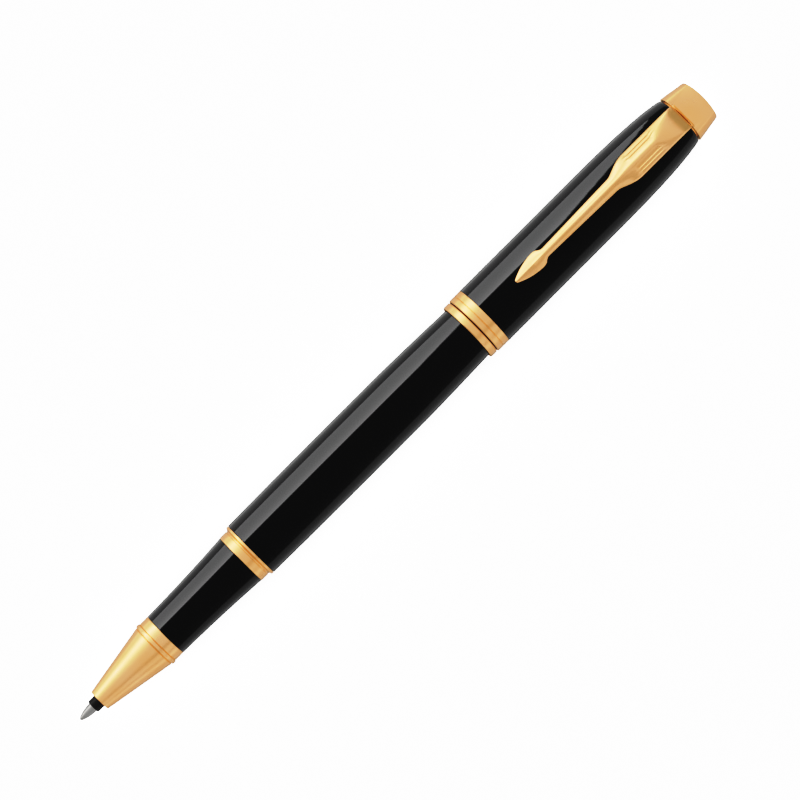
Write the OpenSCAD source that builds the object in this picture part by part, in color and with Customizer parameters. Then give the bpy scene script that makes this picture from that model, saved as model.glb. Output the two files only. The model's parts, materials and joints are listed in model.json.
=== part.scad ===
// Rollerball pen with its cap posted on the rear end of the barrel.
// The pen lies along X: the writing point is at -X, the cap and its clip are at +X, and the clip is on top.
// The origin is on the surface under the middle of the pen. All sizes are in millimetres.
// A station is a distance along the pen's axis from the front of the writing ball.
// The sizes grow from the refill outwards: each wall and clearance is added to what it goes round.

/* [Refill] */
// Diameter of the writing ball
ball_d = 0.5; // [0.4:0.1:0.8]
// Running clearance between the ball and its socket
ball_gap = 0.02; // [0.01:0.01:0.04]
// Metal writing point that shows, from the ball to the collar
point_len = 3.2; // [2.8:0.1:4]
// Diameter of the writing point at its base
point_d = 1.9; // [1.7:0.1:2.3]
// Ink channel through the writing point
channel_d = 0.4; // [0.3:0.05:0.5]
// Diameter of the plastic collar that holds the point
collar_d = 2.6; // [2.5:0.1:3.2]
// Collar that shows in front of the nose cone
collar_len = 1.6; // [1:0.1:2.5]
// Diameter of the ink tube
refill_d = 6.1; // [5.4:0.1:7.4]
// Wall of the ink tube
refill_wall = 0.2; // [0.15:0.05:0.3]
// Length of the ink tube
refill_len = 93.2; // [85:0.1:96]
// Diameter of the fibre rod that feeds the point
feed_d = 1; // [0.8:0.1:1.2]

/* [Refill spring] */
// Wire of the spring behind the refill
wire_d = 0.4; // [0.3:0.05:0.5]
// Mean diameter of the spring
spring_d = 4.4; // [4:0.1:4.8]
// Turns of the spring
spring_turns = 6; // [4:1:8]

/* [Nose cone] */
// Diameter of the cone's front face
cone_front_d = 4.2; // [4:0.1:5.2]
// Length of the cone up to the groove
cone_len = 13.1; // [12:0.1:16]
// Length of the groove behind the cone
groove_len = 0.55; // [0.3:0.05:0.8]
// Length of the raised bead
bead_len = 0.7; // [0.6:0.05:1.2]
// How far the bead stands out of the plain band
bead_rise = 0.155; // [0.1:0.005:0.3]
// Length of the plain band next to the grip
band_len = 2.05; // [1.5:0.05:3]
// Wall of the plain band over the section core
band_wall = 0.51; // [0.4:0.01:0.8]
// Depth of the groove behind the cone, and of the cone's rear edge
groove_depth = 0.1; // [0.05:0.005:0.3]

/* [Grip] */
// Length of the grip sleeve
grip_len = 18.65; // [15:0.05:22.5]
// How far the grip flares from its front to its rear
grip_flare = 0.75; // [0.5:0.05:1]
// Wall of the core that joins the nose cone, the grip and the barrel
core_wall = 0.8; // [0.6:0.05:1]
// Running clearance between the ink tube and the core
refill_gap = 0.1; // [0.05:0.01:0.1]

/* [Section ring] */
// Length of the ring between the grip and the barrel
ring_len = 2.6; // [2.4:0.1:3.4]
// Length of the ring's rear flange
flange_len = 0.55; // [0.4:0.05:0.8]
// Length of the ring's straight front band
ring_front_len = 1.5; // [1.2:0.05:1.7]
// Depth of the hollow neck in front of the flange
neck_depth = 0.1; // [0.05:0.05:0.3]

/* [Barrel] */
// Length of the barrel
barrel_len = 80.75; // [76:0.05:97]
// Wall of the barrel
barrel_wall = 0.59; // [0.45:0.01:0.8]
// How far the barrel swells from its front to its belly
belly_rise = 0.135; // [0.05:0.005:0.3]
// Barrel from its front to its belly
belly_start = 23.55; // [20:0.05:28]
// Length of the belly, which is a true cylinder
belly_len = 12; // [8:0.5:16]
// Diameter of the barrel's rear end
barrel_end_d = 8.8; // [7.8:0.1:10.6]
// Where the barrel's taper bends, from its rear end
taper_bend = 33.1; // [28:0.1:38]
// Height of the threads between the core and the barrel
thread_step = 0.3; // [0.2:0.05:0.4]
// Radial clearance in the threads
thread_gap = 0.05; // [0.02:0.01:0.1]
// Length of the screwed shank behind the section ring
shank_len = 7.85; // [6:0.05:9]
// Wall of the threaded insert in the barrel
insert_wall = 0.85; // [0.6:0.05:1.2]

/* [Cap] */
// Barrel that is inside the posted cap
post_overlap = 26.7; // [26:0.1:32]
// Clearance round what goes into the cap
cap_gap = 0.06; // [0.04:0.01:0.1]
// Running clearance of the barrel's end in the cap's liner
post_gap = 0.05; // [0.02:0.01:0.1]
// Wall of the liner at its mouth
liner_wall = 0.28; // [0.25:0.01:0.6]
// Wall of the cap tube and its rings over the liner
cap_wall = 0.42; // [0.35:0.01:0.7]
// Length of the lip ring
lip_len = 1.45; // [1.2:0.05:2.4]
// Groove between the lip ring and the cap band
lip_gap = 0.2; // [0.1:0.05:0.4]
// Length of the cap band
cap_band_len = 2.65; // [2:0.05:4]
// Room between the capped writing point and the liner's end
tip_room = 0.75; // [0.5:0.05:2]
// Thickness of the liner's closed end
liner_end = 1.5; // [1:0.1:2]
// Room in the cap behind the liner
cap_end_room = 5.7; // [4:0.1:8]
// Thickness of the cap tube's end wall
cap_end_wall = 2; // [1.5:0.1:3]
// Length of the cap's rounded shoulder
shoulder_len = 20; // [15:0.1:21]
// How far the shoulder draws in
shoulder_drop = 1.05; // [0.8:0.01:1.3]
// Rounding of the cap's rear edge
cap_end_round = 0.4; // [0.1:0.05:0.5]

/* [Finial] */
// Length of the finial
finial_len = 5.85; // [5:0.05:8]
// How far the finial's rim stands out of the cap's rounded edge
finial_rise = 0.32; // [0.1:0.02:0.4]
// How far the finial tapers to its top edge
finial_taper = 0.75; // [0.4:0.05:1.2]
// Height of the finial's domed top
dome_rise = 0.8; // [0.5:0.05:1.2]
// Distance of the front facet from the axis at its foot
facet_foot = 3.42; // [3.2:0.02:4]
// How far the facet leans in towards the top
facet_lean = 0.69; // [0.3:0.01:1]
// Diameter of the screw that holds the finial
screw_d = 3; // [2.5:0.1:3.4]
// Clearance of the screw in the cap's end wall
screw_gap = 0.1; // [0.05:0.05:0.2]

/* [Clip] */
// Length of the clip from its root to its tip
clip_len = 42.35; // [34:0.05:46]
// Width of the clip's head
clip_head_w = 5.3; // [4.4:0.1:5.6]
// Length of the clip's head
clip_head_len = 13.45; // [11:0.05:16]
// Width of the shank next to the head
clip_shank_w = 2.66; // [2:0.02:3.4]
// Width of the shank's waist next to the pad
clip_waist_w = 1.8; // [1.4:0.1:2.2]
// Width of the pad
clip_pad_w = 3.3; // [2.6:0.1:4]
// Length of the pad
clip_pad_len = 7.3; // [6:0.1:9]
// Thickness of the clip
clip_t = 0.95; // [0.7:0.05:1.1]
// Height of the head's top over the cap
clip_rise = 2.5; // [2.2:0.05:3.2]
// Gap between the pad and the cap
pad_gap = 0.05; // [0.03:0.01:0.2]
// Radius of the clip's rolled root
root_r = 0.36; // [0.3:0.01:0.38]
// Running clearance round the rolled root
root_gap = 0.05; // [0.03:0.01:0.1]
// Thickness of the ring that holds the clip
clip_ring_t = 0.7; // [0.6:0.05:0.8]

/* [Hidden] */

$fn = 96;
// Steps in one curved stretch of an outline
steps = 12;
// Small overlap that lets a cutter pass through a face
past = 0.5;
// Small gap between faces that meet on different bodies
face_gap = 0.05;
// Play of one fixed piece in another
play = 0.05;

gold = "#e0b060";
lacquer = "#101012";
brass = "#b9975b";
steel = "#b8bbc0";
plastic = "#17110f";
ink = "#1b1d3a";

// Radii, from the refill outwards
refill_r = refill_d / 2;
core_bore_r = refill_r + refill_gap;
core_r = core_bore_r + core_wall;
shank_r = core_r + thread_step;
insert_bore_r = shank_r + thread_gap;
insert_r = insert_bore_r + insert_wall;
barrel_front_r = insert_r + barrel_wall;
belly_r = barrel_front_r + belly_rise;
barrel_end_r = barrel_end_d / 2;
band_r = core_r + band_wall;
bead_r = band_r + bead_rise;
cone_rear_r = band_r - groove_depth;
grip_rear_r = band_r + grip_flare;
// The ring stands a little out of the grip, and its flange a little in from the barrel
ring_front_r = grip_rear_r + 0.06;
flange_r = barrel_front_r - 0.02;

// Stations of the nose, the grip and the barrel
cone_s = point_len + collar_len;
groove_s = cone_s + cone_len;
bead_s = groove_s + groove_len;
band_s = bead_s + bead_len;
core_s = band_s - 0.1;
grip_s = band_s + band_len;
ring_s = grip_s + grip_len;
barrel_s = ring_s + ring_len;
flange_s = barrel_s - flange_len;
belly_s = barrel_s + belly_start;
belly_end_s = belly_s + belly_len;
barrel_end_s = barrel_s + barrel_len;
bend_s = barrel_end_s - taper_bend;

// The stop in the nose cone, on which the refill's shoulder rests
stop_depth = 3.4;
stop_s = cone_s + stop_depth;
shoulder_step = 0.4;
shoulder_r = collar_d / 2 + shoulder_step;
collar_shoulder_s = stop_s + face_gap;
// The front of the ink tube, in front of the groove
tube_lead = 1.9;
tube_s = groove_s - tube_lead;
tube_end_s = tube_s + refill_len;
tube_bore_r = refill_r - refill_wall;
// The collar's spigot in the tube, the point's tail in the collar, and the fibre rod behind it
spigot_len = 4.2;
spigot_end_s = tube_s + spigot_len;
tail_len = 4;
tail_s = point_len + tail_len;
feed_bore_r = feed_d / 2 + play;
feed_s = tail_s + 0.1;
feed_end_s = spigot_end_s + tail_len;
reservoir_s = spigot_end_s + 0.4;
// The end plug: its depth in the tube, its head and its boss
plug_depth = 5;
plug_head_len = 1.5;
plug_boss_len = 1;
plug_boss_r = 1.5;
plug_end_s = tube_end_s + plug_head_len;

// The seat of the refill spring, against the closed end of the barrel
barrel_floor = 1.4;
barrel_floor_s = barrel_end_s - barrel_floor;
seat_len = 3.5;
seat_s = barrel_floor_s - seat_len;
seat_ledge = 0.11;
seat_r = barrel_end_r - barrel_wall - seat_ledge;
spring_s = plug_end_s + face_gap;
spring_end_s = seat_s - face_gap;
spring_r = spring_d / 2;
wire_r = wire_d / 2;
seat_boss_gap = 0.4;
seat_boss_r = spring_r - wire_r - seat_boss_gap;

// The barrel's taper is one quadratic curve, level at the belly
function taper_share(s) =
    let (run = bend_s - belly_end_s, rest = belly_end_s - 2 * bend_s + barrel_end_s)
    let (d = s - belly_end_s)
    d / (run + sqrt(run * run + rest * d));
function taper_r(s) = belly_r - (belly_r - barrel_end_r) * pow(taper_share(s), 2);

// Stations and radii of the cap, from its lip
lip_s = barrel_end_s - post_overlap;
liner_inset = 0.9;
liner_s = lip_s + liner_inset;
cap_band_s = lip_s + lip_len + lip_gap;
cap_tube_s = cap_band_s + cap_band_len;
chamber_end_s = lip_s + barrel_s + tip_room;
liner_end_s = chamber_end_s + liner_end;
screw_head_len = 1;
end_wall_s = liner_end_s + cap_end_room + screw_head_len;
cap_end_s = end_wall_s + cap_end_wall;
// The liner is wide at its mouth, narrower at its waist, and narrowest on the land that grips the barrel
mouth_len = 12;
waist_s = lip_s + mouth_len;
land_s = lip_s + barrel_s - bead_s + 0.15;
mouth_r = max(taper_r(liner_s), ring_front_r) + cap_gap;
waist_r = max(taper_r(waist_s), grip_rear_r) + cap_gap;
land_r = max(taper_r(land_s), cone_rear_r) + post_gap;
liner_r = max(mouth_r + liner_wall, flange_r + cap_gap, taper_r(lip_s) + cap_gap);
tail_wall = 0.65;
tail_r = land_r + tail_wall;
cap_r = liner_r + cap_wall;
// The band and the lip ring are set in a little from the tube
cap_band_r = cap_r - 0.015;
lip_ring_r = cap_r - 0.15;
shoulder_s = cap_end_s - shoulder_len;
liner_step_s = shoulder_s - liner_inset;
cap_end_r = cap_r - shoulder_drop;
cap_edge_r = cap_end_r - cap_end_round;
room_wall = 0.72;
room_r = cap_end_r - room_wall;
screw_r = screw_d / 2;
screw_hole_r = screw_r + screw_gap;
screw_rim = 0.9;
screw_head_r = screw_r + screw_rim;

// The finial and the ring that holds the clip
finial_s = cap_end_s + 0.15;
finial_r = cap_edge_r + finial_rise;
finial_end_s = finial_s + finial_len;
rim_len = 0.75;
facet_s = finial_s + rim_len;
top_edge_s = finial_end_s - dome_rise;
clip_ring_inset = 0.45;
clip_ring_r = cap_edge_r - clip_ring_inset;
ring_recess_r = clip_ring_r + play;
recess_end_s = cap_end_s + clip_ring_t + play;
screw_tip_depth = 1.6;
screw_end_s = top_edge_s - screw_tip_depth;

// The clip's hinge line, where its root is rolled
root_s = cap_end_s + clip_ring_t / 2 + 0.1;
root_lift = 0.45;
root_z = clip_ring_r + root_lift;
root_w = clip_head_w - 0.3;
clip_back_s = root_s + root_r;
clip_tip_s = clip_back_s - clip_len;
clip_top_z = cap_r + clip_rise;
pad_end_s = clip_tip_s + clip_pad_len;
head_s = clip_back_s - clip_head_len;
flare_len = 4.1;
slot_w = clip_head_w + 0.3;

// The whole pen
pen_len = finial_end_s;
axis_z = cap_r;
middle_s = pen_len / 2;

// A quadratic curve from a to c, drawn towards b
function bend(a, b, c) = [
    for (i = [0:steps]) let (t = i / steps)
        (1 - t) * (1 - t) * a + 2 * t * (1 - t) * b + t * t * c
];
// The place that lies a share of the way from a to b
function mix(a, b, share) = a + (b - a) * share;
// The same outline on the other side of the centre line, in reverse order
function mirrored(outline) = [for (i = [len(outline) - 1:-1:0]) [outline[i][0], -outline[i][1]]];

// Lays what was made upright, with stations along Z, along the pen's axis
module lay() {
    translate([-middle_s, 0, axis_z]) rotate([0, 90, 0]) children();
}

// A turned piece. Each point of its outline is a radius and a station
module turned(outline) {
    lay() rotate_extrude() polygon(outline);
}

// A plain ring or tube between two stations
module ring(r_in, r_out, s_from, s_to) {
    turned([[r_in, s_from], [r_out, s_from], [r_out, s_to], [r_in, s_to]]);
}

// A straight hole or rod between two stations
module rod(r, s_from, s_to) {
    lay() translate([0, 0, s_from]) cylinder(r = r, h = s_to - s_from);
}

// Moves what is drawn in stations and heights over the axis to its place
module on_axis() {
    translate([-middle_s, 0, axis_z]) children();
}

// A side outline of stations and heights, made w wide across the pen
module side_plate(outline, w) {
    on_axis() rotate([90, 0, 0]) linear_extrude(height = w, center = true) polygon(outline);
}

// A rod across the pen, on the clip's hinge line
module root_rod(r, w) {
    on_axis() translate([root_s, 0, root_z]) rotate([90, 0, 0]) cylinder(r = r, h = w, center = true);
}

module writing_ball() {
    color(steel) on_axis() translate([ball_d / 2, 0, 0]) sphere(d = ball_d, $fn = 32);
}

module refill_point() {
    lip_s = ball_d * 0.32;
    lip_r = ball_d / 2 + 0.05;
    color(steel) difference() {
        turned(concat(
            [[0, lip_s]],
            bend([lip_r, lip_s], [point_d * 0.46, point_len * 0.4], [point_d / 2, point_len]),
            [[point_d / 2, tail_s], [0, tail_s]]
        ));
        on_axis() translate([ball_d / 2, 0, 0]) sphere(r = ball_d / 2 + ball_gap, $fn = 32);
        rod(channel_d / 2, ball_d / 2, tail_s + past);
    }
}

module refill_collar() {
    chamfer = 0.2;
    color(plastic) turned([
        [point_d / 2, point_len], [collar_d / 2 - chamfer, point_len], [collar_d / 2, point_len + chamfer],
        [collar_d / 2, collar_shoulder_s], [shoulder_r, collar_shoulder_s], [tube_bore_r, tube_s],
        [tube_bore_r, spigot_end_s], [feed_bore_r, spigot_end_s], [feed_bore_r, tail_s], [point_d / 2, tail_s]
    ]);
}

module feed_rod() {
    color(ink) rod(feed_d / 2, feed_s, feed_end_s);
}

module refill_tube() {
    color(steel) ring(tube_bore_r, refill_r, tube_s, tube_end_s);
}

module ink_reservoir() {
    plug_room = 2;
    color(ink) difference() {
        rod(tube_bore_r - play, reservoir_s, tube_end_s - plug_depth - plug_room);
        rod(feed_bore_r, reservoir_s - past, feed_end_s + 0.1);
    }
}

module refill_end_plug() {
    color(plastic) turned([
        [0, tube_end_s - plug_depth], [tube_bore_r, tube_end_s - plug_depth], [tube_bore_r, tube_end_s],
        [refill_r, tube_end_s], [refill_r, plug_end_s], [plug_boss_r, plug_end_s],
        [plug_boss_r, plug_end_s + plug_boss_len], [0, plug_end_s + plug_boss_len]
    ]);
}

// One ring of points round the spring's wire, at a share of the way along it
function wire_ring(share, sides) =
    let (turn = 360 * spring_turns * share, s = mix(spring_s + wire_r, spring_end_s - wire_r, share))
    [for (k = [0:sides - 1]) let (a = 360 * k / sides, r = spring_r + wire_r * cos(a))
        [r * cos(turn), r * sin(turn), s + wire_r * sin(a)]];

module refill_spring() {
    sides = 8;
    rings = spring_turns * 16;
    points = [for (i = [0:rings]) each wire_ring(i / rings, sides)];
    skin = [for (i = [0:rings - 1], k = [0:sides - 1]) let (n = (k + 1) % sides)
        [i * sides + k, (i + 1) * sides + k, (i + 1) * sides + n, i * sides + n]];
    first = [for (k = [0:sides - 1]) k];
    last = [for (k = [sides - 1:-1:0]) rings * sides + k];
    color(steel) lay() polyhedron(points, concat(skin, [first, last]));
}

module spring_seat() {
    boss_len = 1.5;
    color(plastic) turned([
        [0, seat_s - boss_len], [seat_boss_r, seat_s - boss_len], [seat_boss_r, seat_s],
        [seat_r, seat_s], [seat_r, barrel_floor_s], [0, barrel_floor_s]
    ]);
}

module nose_cone() {
    edge = 0.15;
    collar_bore_r = collar_d / 2 + play;
    cavity_end_s = tube_s + 0.4;
    color(gold) turned([
        [collar_bore_r, cone_s], [cone_front_d / 2 - edge, cone_s], [cone_front_d / 2, cone_s + edge],
        [cone_rear_r, groove_s], [cone_rear_r, bead_s], [bead_r - edge, bead_s],
        [bead_r, bead_s + edge], [bead_r, band_s - edge], [bead_r - edge, band_s],
        [band_r, band_s], [band_r, grip_s], [core_r, grip_s],
        [core_r, core_s], [core_bore_r, core_s], [core_bore_r, cavity_end_s],
        [shoulder_r + 0.15, stop_s], [collar_bore_r, stop_s]
    ]);
}

module grip_sleeve() {
    color(lacquer) turned(concat(
        [[core_r, ring_s], [core_r, grip_s]],
        bend([band_r, grip_s], [band_r + grip_flare * 0.19, mix(grip_s, ring_s, 0.53)], [grip_rear_r, ring_s])
    ));
}

module section_core() {
    shank_end_s = barrel_s + shank_len;
    chamfer = 0.3;
    color(brass) turned([
        [core_bore_r, core_s], [core_r, core_s], [core_r, barrel_s - face_gap],
        [shank_r, barrel_s - face_gap], [shank_r, shank_end_s - chamfer],
        [shank_r - chamfer, shank_end_s], [core_bore_r, shank_end_s]
    ]);
}

module section_ring() {
    neck_s = ring_s + ring_front_len;
    neck_r = ring_front_r - neck_depth;
    edge = 0.1;
    rear_s = barrel_s - face_gap;
    color(gold) turned(concat(
        [[core_r, ring_s], [grip_rear_r, ring_s], [ring_front_r, ring_s + edge], [ring_front_r, neck_s]],
        bend([neck_r, neck_s + edge], [neck_r, flange_s - edge], [flange_r - edge, flange_s]),
        [[flange_r, flange_s + edge], [flange_r, rear_s], [core_r, rear_s]]
    ));
}

module barrel_tube() {
    end_round = 0.6;
    round_s = barrel_end_s - end_round;
    outside = [for (i = [0:2 * steps]) let (s = mix(belly_end_s, round_s, i / (2 * steps)))
        [taper_r(s), s]];
    inside = [for (i = [steps:-1:0]) let (s = mix(belly_end_s, seat_s, i / steps))
        [min(insert_r, taper_r(s) - barrel_wall), s]];
    color(lacquer) turned(concat(
        [[insert_r, barrel_s]],
        bend([barrel_front_r, barrel_s], [belly_r, barrel_s + belly_start / 2], [belly_r, belly_s]),
        outside,
        bend([taper_r(round_s), round_s], [barrel_end_r, barrel_end_s],
            [barrel_end_r - end_round, barrel_end_s]),
        [[0, barrel_end_s], [0, barrel_floor_s], [seat_r, barrel_floor_s], [seat_r, seat_s]],
        inside
    ));
}

module barrel_insert() {
    recess = 0.2;
    run_out = 0.7;
    color(brass) ring(insert_bore_r, insert_r, barrel_s + recess, barrel_s + shank_len + run_out);
}

module cap_lip_ring() {
    edge = 0.15;
    color(gold) turned([
        [liner_r, lip_s], [lip_ring_r - edge, lip_s], [lip_ring_r, lip_s + edge],
        [lip_ring_r, lip_s + lip_len - edge], [lip_ring_r - edge, lip_s + lip_len], [liner_r, lip_s + lip_len]
    ]);
}

module cap_band() {
    edge = 0.1;
    line_s = mix(cap_band_s, cap_tube_s, 0.46);
    line_w = 0.16;
    color(gold) turned([
        [liner_r, cap_band_s], [cap_band_r - edge, cap_band_s], [cap_band_r, cap_band_s + edge],
        [cap_band_r, line_s - line_w / 2], [cap_band_r - line_w / 2, line_s],
        [cap_band_r, line_s + line_w / 2], [cap_band_r, cap_tube_s], [liner_r, cap_tube_s]
    ]);
}

module cap_tube() {
    room_s = liner_end_s + 0.3;
    round_s = cap_end_s - 2 * cap_end_round;
    color(lacquer) turned(concat(
        [[liner_r, cap_tube_s], [cap_r, cap_tube_s]],
        bend([cap_r, shoulder_s], [cap_r, mix(shoulder_s, round_s, 0.69)], [cap_end_r, round_s]),
        bend([cap_end_r, round_s], [mix(cap_end_r, cap_edge_r, 0.3), cap_end_s], [cap_edge_r, cap_end_s]),
        [[screw_hole_r, cap_end_s], [screw_hole_r, end_wall_s], [room_r, end_wall_s], [room_r, room_s]],
        [[tail_r, room_s], [tail_r, liner_step_s], [liner_r, liner_step_s]]
    ));
}

module inner_cap() {
    color(plastic) turned([
        [mouth_r, liner_s], [liner_r, liner_s], [liner_r, liner_step_s], [tail_r, liner_step_s],
        [tail_r, liner_end_s], [0, liner_end_s], [0, chamber_end_s], [land_r, chamber_end_s],
        [land_r, land_s], [waist_r, land_s], [waist_r, waist_s], [mouth_r, waist_s]
    ]);
}

// The clip seen from above: one half of its outline, from its tip to its root.
// The pad is a drop with a blunt nose, and the head flares out of the shank in an S
function clip_half() =
    let (pad = clip_pad_w / 2, waist = clip_waist_w / 2, shank = clip_shank_w / 2, head = clip_head_w / 2)
    let (nose = pad * 0.21, nose_s = clip_tip_s + 0.15, wide_s = mix(clip_tip_s, pad_end_s, 0.71))
    let (back = [mix(wide_s, pad_end_s, 0.62), mix(pad, waist, 0.5)])
    let (flare_s = head_s - flare_len, turn = [head_s - flare_len * 0.71, mix(shank, head, 0.38)])
    concat(
        bend([clip_tip_s, 0], [clip_tip_s, nose], [nose_s, nose]),
        bend([nose_s + 0.05, nose + 0.02], [mix(nose_s, wide_s, 0.45), pad * 0.91], [wide_s, pad]),
        bend([wide_s + 0.1, pad], [mix(wide_s, back[0], 0.75), pad], back),
        bend(back + [0.05, -0.03], [mix(back[0], pad_end_s, 0.4), waist], [pad_end_s, waist]),
        bend([flare_s, shank], [mix(flare_s, turn[0], 0.5), shank], turn),
        bend(turn + [0.05, 0.03], [mix(turn[0], head_s, 0.35), head], [head_s, head]),
        bend([clip_back_s - 1, head], [clip_back_s, head], [clip_back_s, head - 0.9])
    );

// The clip seen from the side, in stations and heights over the axis
function clip_side() =
    let (top = clip_top_z, touch = cap_r + pad_gap, foot = clip_tip_s + 2.6, low = root_z, crest = head_s + 2)
    concat(
        bend([clip_back_s, low], [clip_back_s, top], [crest, top]),
        bend([head_s - 8, top - 0.1], [clip_tip_s + 6, top - 0.6], [clip_tip_s, touch + 0.75]),
        bend([clip_tip_s, touch + 0.5], [clip_tip_s + 1.2, touch], [foot, touch]),
        bend([foot + 0.6, touch], [foot + 8, top - clip_t - 0.15], [head_s, top - clip_t]),
        bend([head_s + 4, top - clip_t], [root_s - root_r, top - clip_t - 0.2], [root_s - root_r, low])
    );

module clip() {
    half = clip_half();
    color(gold) {
        intersection() {
            side_plate(clip_side(), clip_head_w + 1);
            on_axis() linear_extrude(height = clip_top_z + 1) polygon(concat(half, mirrored(half)));
        }
        root_rod(root_r, root_w);
    }
}

module clip_ring() {
    tang_top = root_z - 0.3;
    color(gold) difference() {
        union() {
            ring(screw_hole_r, clip_ring_r, cap_end_s, cap_end_s + clip_ring_t);
            side_plate([
                [cap_end_s, clip_ring_r - 0.9], [cap_end_s + clip_ring_t, clip_ring_r - 0.9],
                [cap_end_s + clip_ring_t, tang_top], [cap_end_s, tang_top]
            ], root_w);
        }
        root_rod(root_r + root_gap, root_w + 1);
    }
}

module finial() {
    edge = 0.12;
    top_r = finial_r - finial_taper;
    slot_foot = clip_ring_r - 0.95;
    color(gold) difference() {
        turned(concat(
            [[ring_recess_r, finial_s], [finial_r - edge, finial_s], [finial_r, finial_s + edge]],
            [[finial_r, facet_s - edge], [finial_r - edge, facet_s]],
            bend([top_r, top_edge_s], [top_r - 0.1, finial_end_s - 0.35], [0, finial_end_s]),
            [[0, screw_end_s + 0.2], [screw_r, screw_end_s + 0.2], [screw_r, recess_end_s]],
            [[ring_recess_r, recess_end_s]]
        ));
        side_plate([
            [facet_s, facet_foot], [finial_end_s + 1, facet_foot - facet_lean * 1.4],
            [finial_end_s + 1, finial_r + 1], [facet_s, finial_r + 1]
        ], 4 * finial_r);
        side_plate([
            [finial_s - past, slot_foot], [facet_s + 0.05, slot_foot],
            [facet_s + 0.05, finial_r + 1], [finial_s - past, finial_r + 1]
        ], slot_w);
    }
}

module finial_screw() {
    color(brass) turned([
        [0, end_wall_s - screw_head_len], [screw_head_r, end_wall_s - screw_head_len],
        [screw_head_r, end_wall_s], [screw_r, end_wall_s], [screw_r, screw_end_s], [0, screw_end_s]
    ]);
}

writing_ball();
refill_point();
refill_collar();
feed_rod();
refill_tube();
ink_reservoir();
refill_end_plug();
refill_spring();
spring_seat();
nose_cone();
grip_sleeve();
section_core();
section_ring();
barrel_tube();
barrel_insert();
cap_lip_ring();
cap_band();
cap_tube();
inner_cap();
clip();
clip_ring();
finial();
finial_screw();
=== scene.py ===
"""Looks of the rollerball pen: turned metal, lacquer, the spring clip and a plain studio.

Every piece is modelled in the pen's own frame: +X from the writing point to the cap, +Z up through the clip.
Outlines are drawn as (distance along the pen, radius) and spun round its axis.
"""

import json
import math

import bpy
from mathutils import Matrix, Vector

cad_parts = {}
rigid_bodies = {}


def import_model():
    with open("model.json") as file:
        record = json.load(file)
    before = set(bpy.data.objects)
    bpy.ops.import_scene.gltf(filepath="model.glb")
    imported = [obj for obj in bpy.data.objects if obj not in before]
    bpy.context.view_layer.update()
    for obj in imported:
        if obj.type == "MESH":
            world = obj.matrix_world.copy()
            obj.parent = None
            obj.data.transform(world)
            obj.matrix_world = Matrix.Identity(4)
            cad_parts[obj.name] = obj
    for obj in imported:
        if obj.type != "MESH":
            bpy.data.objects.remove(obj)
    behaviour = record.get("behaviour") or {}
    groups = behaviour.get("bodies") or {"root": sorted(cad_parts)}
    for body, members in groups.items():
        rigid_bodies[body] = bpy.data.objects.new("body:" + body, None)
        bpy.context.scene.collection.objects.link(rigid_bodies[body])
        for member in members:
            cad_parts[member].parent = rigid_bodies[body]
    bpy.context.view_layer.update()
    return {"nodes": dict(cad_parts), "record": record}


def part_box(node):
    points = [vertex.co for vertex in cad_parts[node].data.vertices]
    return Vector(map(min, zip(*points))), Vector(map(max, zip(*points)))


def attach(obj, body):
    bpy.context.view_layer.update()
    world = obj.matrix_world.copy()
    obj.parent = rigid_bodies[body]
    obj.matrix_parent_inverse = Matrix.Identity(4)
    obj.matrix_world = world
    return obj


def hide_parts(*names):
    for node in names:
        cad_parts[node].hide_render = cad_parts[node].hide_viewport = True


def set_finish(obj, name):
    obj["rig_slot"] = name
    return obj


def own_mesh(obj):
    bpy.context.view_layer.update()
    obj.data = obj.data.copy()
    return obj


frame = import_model()

bl_info = {
    "name": "Rollerball pen",
    "version": (1, 0, 0),
    "blender": (4, 5, 0),
    "location": "3D View > Sidebar > Pen",
    "description": "Builds a lacquered rollerball pen with gold trim, its refill and a small studio",
    "category": "Object",
}

MM = 0.001


# ---------------------------------------------------------------- places in the frame

def ends(node):
    """Where a node starts and ends along the pen."""
    low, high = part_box(node)
    return low.x, high.x


def radius(node):
    """The largest radius of a turned node."""
    low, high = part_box(node)
    return (high.y - low.y) / 2


AXIS_Z = (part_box("barrel_tube")[0].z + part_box("barrel_tube")[1].z) / 2


def bend(start, towards, end, steps=16):
    """Points on a quadratic curve from start to end, drawn towards the middle point."""
    points = []
    for i in range(steps + 1):
        t = i / steps
        share = ((1 - t) ** 2, 2 * t * (1 - t), t * t)
        points.append(tuple(sum(s * p[k] for s, p in zip(share, (start, towards, end))) for k in range(2)))
    return points


def mix(low, high, share):
    """The value that lies share of the way from low to high."""
    return low + (high - low) * share


def ease(share):
    """Turns an even run from 0 to 1 into one that starts and stops softly."""
    share = min(max(share, 0), 1)
    return share * share * (3 - 2 * share)


# ---------------------------------------------------------------- colours and materials

def srgb(code):
    """A hex colour as linear red, green and blue."""
    parts = [int(code[i:i + 2], 16) / 255 for i in (1, 3, 5)]
    return tuple(p / 12.92 if p <= 0.04045 else ((p + 0.055) / 1.055) ** 2.4 for p in parts)


def add_node(tree, kind, inputs=None, **settings):
    """Adds one shader node. An input is a value, or the socket that feeds it."""
    made = tree.nodes.new("ShaderNode" + kind)
    for key, value in settings.items():
        setattr(made, key, value)
    for key, value in (inputs or {}).items():
        if isinstance(value, bpy.types.NodeSocket):
            tree.links.new(value, made.inputs[key])
        else:
            made.inputs[key].default_value = value
    return made


def new_material(name, colour, **finish):
    """A material with one Principled shader, its colour and its uniform values."""
    material = bpy.data.materials.new(name)
    material.use_nodes = True
    tree = material.node_tree
    tree.nodes.clear()
    shader = add_node(tree, "BsdfPrincipled", {"Base Color": (*colour, 1), **finish})
    output = add_node(tree, "OutputMaterial")
    tree.links.new(shader.outputs["BSDF"], output.inputs["Surface"])
    material.diffuse_color = (*colour, 1)
    return material, tree, shader


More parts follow.
